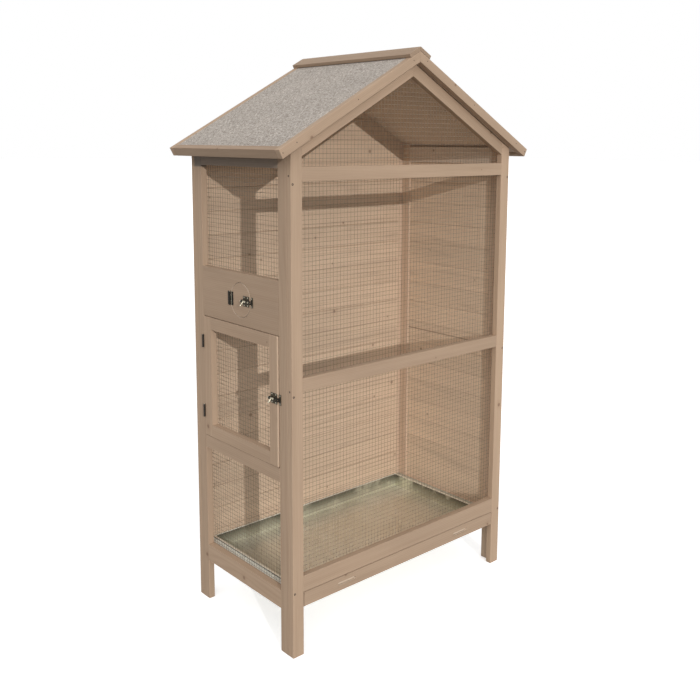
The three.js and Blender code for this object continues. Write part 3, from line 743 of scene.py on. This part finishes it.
# Screw heads: depth of the rim, height of the crown and depth of the cross, and their shares of the radius
SCREW_POINTS = 20
SCREW_SINK, SCREW_RISE, RECESS_DEEP = 0.0004, 0.0003, 0.0007
CROWN_SHARE, ARM_SHARE, ARM_HALF_SHARE, RECESS_TAPER = 0.9, 0.55, 0.13, 0.8
FIRST_TURN, NEXT_TURN = 0.4, 0.9

# Nail heads: share of the radius and height of each ring
NAIL_POINTS = 12
NAIL_RINGS = ((1.0, -0.0004), (1.0, 0.0001), (0.75, 0.0003))


def add_screw(bm, middle, normal, radius, turn):
    """A countersunk head with a cross recess."""
    side = Matrix.Rotation(turn, 3, normal) @ normal.orthogonal().normalized()
    up = normal.cross(side)

    def cross_points(share, lift):
        arm, half = radius * ARM_SHARE * share, radius * ARM_HALF_SHARE * share
        outline = [(arm, -half), (arm, half), (half, half), (half, arm), (-half, arm), (-half, half),
                   (-arm, half), (-arm, -half), (-half, -half), (-half, -arm), (half, -arm), (half, -half)]
        return [bm.verts.new(middle + side * x + up * y + normal * lift) for x, y in outline]

    rim = circle(bm, middle - normal * SCREW_SINK, side, up, radius, SCREW_POINTS)
    crown = circle(bm, middle + normal * SCREW_RISE, side, up, radius * CROWN_SHARE, SCREW_POINTS)
    lip = cross_points(1, SCREW_RISE)
    recess = cross_points(RECESS_TAPER, -RECESS_DEEP)
    add_band(bm, rim, crown)
    add_band(bm, lip, recess)
    bm.faces.new(recess)
    bm.faces.new(list(reversed(rim)))
    edges = []
    for ring in (crown, lip):
        for pair in zip(ring, ring[1:] + ring[:1]):
            edges.append(bm.edges.get(pair) or bm.edges.new(pair))
    bmesh.ops.triangle_fill(bm, use_beauty=True, use_dissolve=False, edges=edges, normal=normal)


def add_screws(name, body, places, normal, radius, material):
    bm = bmesh.new()
    for k, place in enumerate(places):
        add_screw(bm, Vector(place), Vector(normal), radius, FIRST_TURN + NEXT_TURN * k)
    bmesh.ops.recalc_face_normals(bm, faces=bm.faces)
    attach(new_object(name, bm, material), body)


def add_nail(bm, middle, normal, radius):
    side = normal.orthogonal().normalized()
    up = normal.cross(side)
    add_rod(bm, [circle(bm, middle + normal * lift, side, up, radius * share, NAIL_POINTS)
                 for share, lift in NAIL_RINGS])


LEFT, FRONT, BACK = (-1, 0, 0), (0, -1, 0), (0, 1, 0)
FRONT_SCREW_X, FRONT_SCREW_HEIGHTS, FRONT_SCREW_RADIUS = 0.4435, (1.345, 0.767, 0.194), 0.0036
SIDE_SCREW_Y, SIDE_SCREW_HEIGHTS, SIDE_SCREW_RADIUS = -0.2385, (1.367, 0.781), 0.0030
NAIL_SPOTS = [(-0.450, 1.4547), (-0.495, 1.4279), (-0.2392, 1.5712), (-0.0267, 1.6888),
              (0.029, 1.6897), (0.2392, 1.5712), (0.450, 1.4547), (0.495, 1.4279)]
NAIL_RADIUS = 0.0016
BOLT_BODIES = {"door_bolt_plate": "door", "door_bolt_keeper": "cage",
               "hatch_bolt_plate": "hatch", "hatch_bolt_keeper": "cage"}
PLATE_THICK, PLATE_MARGIN_Y, PLATE_MARGIN_Z = 0.0012, 0.006, 0.0034
KEEPER_LONG = 0.02
PLATE_SCREW_RADIUS = 0.0019
LEAF_BODIES = {"hatch_hinge_frame_leaf": "cage", "hatch_hinge_panel_leaf": "hatch"}
LEAF_THICK, LEAF_MARGIN_Y, LEAF_MARGIN_Z = 0.0009, 0.0042, 0.008
LEAF_SCREW_RADIUS = 0.0021


def add_frame_screws(material):
    front_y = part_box("front_left_stile")[0].y
    left_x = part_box("left_rear_stile")[0].x
    front = [(side * FRONT_SCREW_X, front_y, z) for side in (-1, 1) for z in FRONT_SCREW_HEIGHTS]
    add_screws("frame_screws_front", "cage", front, FRONT, FRONT_SCREW_RADIUS, material)
    left = [(left_x, SIDE_SCREW_Y, z) for z in SIDE_SCREW_HEIGHTS]
    add_screws("frame_screws_left", "cage", left, LEFT, SIDE_SCREW_RADIUS, material)


def add_roof_nails(material):
    bm = bmesh.new()
    front_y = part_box("front_left_bargeboard")[0].y
    back_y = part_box("back_left_bargeboard")[1].y
    for face_y, normal in ((front_y, FRONT), (back_y, BACK)):
        for x, z in NAIL_SPOTS:
            add_nail(bm, Vector((x, face_y, z)), Vector(normal), NAIL_RADIUS)
    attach(new_object("roof_nails", bm, material), "cage")


def add_bolt_screws(material):
    for name, body in BOLT_BODIES.items():
        low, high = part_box(name)
        rows = (low.z + PLATE_MARGIN_Z, high.z - PLATE_MARGIN_Z)
        columns = (low.y + PLATE_MARGIN_Y, high.y - PLATE_MARGIN_Y)
        if high.y - low.y <= KEEPER_LONG:
            columns = ((low.y + high.y) / 2,)
        places = [(high.x - PLATE_THICK, y, z) for y in columns for z in rows]
        add_screws(name + "_screws", body, places, LEFT, PLATE_SCREW_RADIUS, material)


def add_leaf_screws(material):
    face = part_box("left_rear_stile")[0].x - LEAF_THICK
    for name, body in LEAF_BODIES.items():
        low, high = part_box(name)
        outer = high.y - LEAF_MARGIN_Y if body == "cage" else low.y + LEAF_MARGIN_Y
        places = [(face, outer, z) for z in (low.z + LEAF_MARGIN_Z, high.z - LEAF_MARGIN_Z)]
        add_screws(name + "_screws", body, places, LEFT, LEAF_SCREW_RADIUS, material)


# Folded galvanised strip that covers the top and the inner edge of each tray guide
STRIP_THICK, LIP_THICK = 0.0006, 0.00042
STRIP_FROM_TRAY, STRIP_FROM_OUTSIDE = 0.0014, 0.0020
STRIP_BEND, STRIP_BEND_DROP, STRIP_DROP = 0.0008, 0.0002, 0.0070
STRIP_FROM_FRONT, STRIP_FROM_BACK = 0.002, 0.001


def add_cover_strip(word, side, material):
    low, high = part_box(word + "_runner")
    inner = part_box("tray")[1].x + STRIP_FROM_TRAY
    outer = max(abs(low.x), abs(high.x)) - STRIP_FROM_OUTSIDE
    section = [(outer, high.z), (outer, high.z + STRIP_THICK), (inner + STRIP_BEND, high.z + STRIP_THICK),
               (inner, high.z - STRIP_BEND_DROP), (inner, high.z - STRIP_DROP),
               (inner + LIP_THICK, high.z - STRIP_DROP), (inner + LIP_THICK, high.z)]
    bm = bmesh.new()
    add_rod(bm, [[bm.verts.new((side * x, y, z)) for x, z in section]
                 for y in (low.y + STRIP_FROM_FRONT, high.y - STRIP_FROM_BACK)])
    bmesh.ops.recalc_face_normals(bm, faces=bm.faces)
    strip = new_object(word + "_guide_cover_strip", bm, material)
    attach(strip, "cage")


def add_floor():
    bm = bmesh.new()
    bm.faces.new([bm.verts.new((x * FLOOR_HALF, y * FLOOR_HALF, 0))
                  for x, y in ((-1, -1), (1, -1), (1, 1), (-1, 1))])
    s = Shader("floor")
    rays = s.node("LightPath").outputs
    seen = s.math("MAXIMUM", rays["Is Camera Ray"], rays["Is Glossy Ray"])
    s.finish(s.mix(seen, FLOOR_BOUNCE, FLOOR_SEEN), FLOOR_ROUGH)
    s.put(s.bsdf.inputs["Emission Color"], WHITE)
    s.put(s.bsdf.inputs["Emission Strength"], s.math("MULTIPLY", seen, FLOOR_GLOW))
    floor = new_object("floor", bm, s.mat)


bpy.context.scene.view_settings.view_transform = "Standard"
add_camera()
add_lamps()
add_sky()
add_floor()

zinc_plate = metal("zinc_plate")
screw_steel = metal("screw_steel")
wire_steel = metal("wire_steel")
dress_wood()
dress_metal(zinc_plate)
dress("roof_felt", felt_material())
dress("tray", galvanised_material())

add_front_net(wire_steel)
for name, node, body, seed in SIDE_NETS:
    add_side_net(name, node, body, seed, wire_steel)
add_cover_strip("left", -1, metal("cover_strip"))
# The right strip takes the darker copy, as painted shade
add_cover_strip("right", 1, metal("shaded_cover_strip"))
add_frame_screws(screw_steel)
add_roof_nails(screw_steel)
add_bolt_screws(zinc_plate)
add_leaf_screws(screw_steel)
